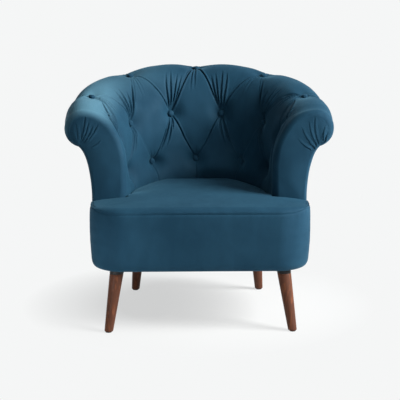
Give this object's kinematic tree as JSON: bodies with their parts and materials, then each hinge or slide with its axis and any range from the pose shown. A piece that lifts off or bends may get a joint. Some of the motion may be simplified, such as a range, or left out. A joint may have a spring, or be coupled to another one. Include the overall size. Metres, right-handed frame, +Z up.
{
  "type": "upholstered tub armchair",
  "caption": "Deep-buttoned velvet tub armchair with a rolled horseshoe back, sloping arms, a fixed T-shaped seat and splayed tapered wooden legs.",
  "frame": {"origin": "on the floor, under the middle of the chair's bounding box", "axes": "+Z up, the front of the chair faces -Y, +X to the right as the picture shows it"},
  "size_m": [0.8474, 0.7037, 0.7715],
  "materials": {
    "velvet": "short-pile upholstery velvet with a soft sheen",
    "velvet_buttons": "velvet-covered button",
    "walnut": "stained, satin lacquer",
    "birch_ply": "sanded plywood",
    "hardboard": "smooth hardboard",
    "foam": "cut upholstery foam, open cell",
    "wadding": "polyester wadding",
    "hessian": "woven hessian",
    "dust_cloth": "black non-woven cloth",
    "spring_steel": "oiled spring wire",
    "zinc_steel": "zinc plated",
    "black_plastic": "matt black",
    "twine": "waxed twine"
  },
  "bodies": {
    "root": {"front_left_leg": "walnut", "front_right_leg": "walnut", "rear_left_leg": "walnut", "rear_right_leg": "walnut", "leg_collars": "black_plastic", "leg_bolts": "zinc_steel", "leg_plates": "zinc_steel", "leg_plate_screws": "zinc_steel", "foot_glides": "black_plastic", "base_ring": "birch_ply", "seat_ring": "birch_ply", "front_rail": "birch_ply", "left_rail": "birch_ply", "right_rail": "birch_ply", "rear_rail": "birch_ply", "corner_blocks": "birch_ply", "dust_cover": "dust_cloth", "seat_springs": "spring_steel", "spring_clips": "zinc_steel", "spring_cover": "hessian", "seat_foam": "foam", "seat_cover": "velvet", "border_foam": "foam", "border_cover": "velvet", "left_inner_rib": "birch_ply", "right_inner_rib": "birch_ply", "left_back_rib": "birch_ply", "right_back_rib": "birch_ply", "left_arm_rib": "birch_ply", "right_arm_rib": "birch_ply", "left_arm_panel": "birch_ply", "right_arm_panel": "birch_ply", "top_rail": "birch_ply", "mid_rail": "birch_ply", "hessian_lining": "hessian", "back_foam": "foam", "left_arm_foam": "foam", "right_arm_foam": "foam", "inside_back_cover": "velvet", "left_inside_arm_cover": "velvet", "right_inside_arm_cover": "velvet", "left_arm_facing": "velvet", "right_arm_facing": "velvet", "outer_board": "hardboard", "outer_wadding": "wadding", "outside_cover": "velvet", "roll_buttons": "velvet_buttons", "upper_buttons": "velvet_buttons", "lower_buttons": "velvet_buttons", "button_twines": "twine", "button_washers": "black_plastic"}
  },
  "joints": []
}
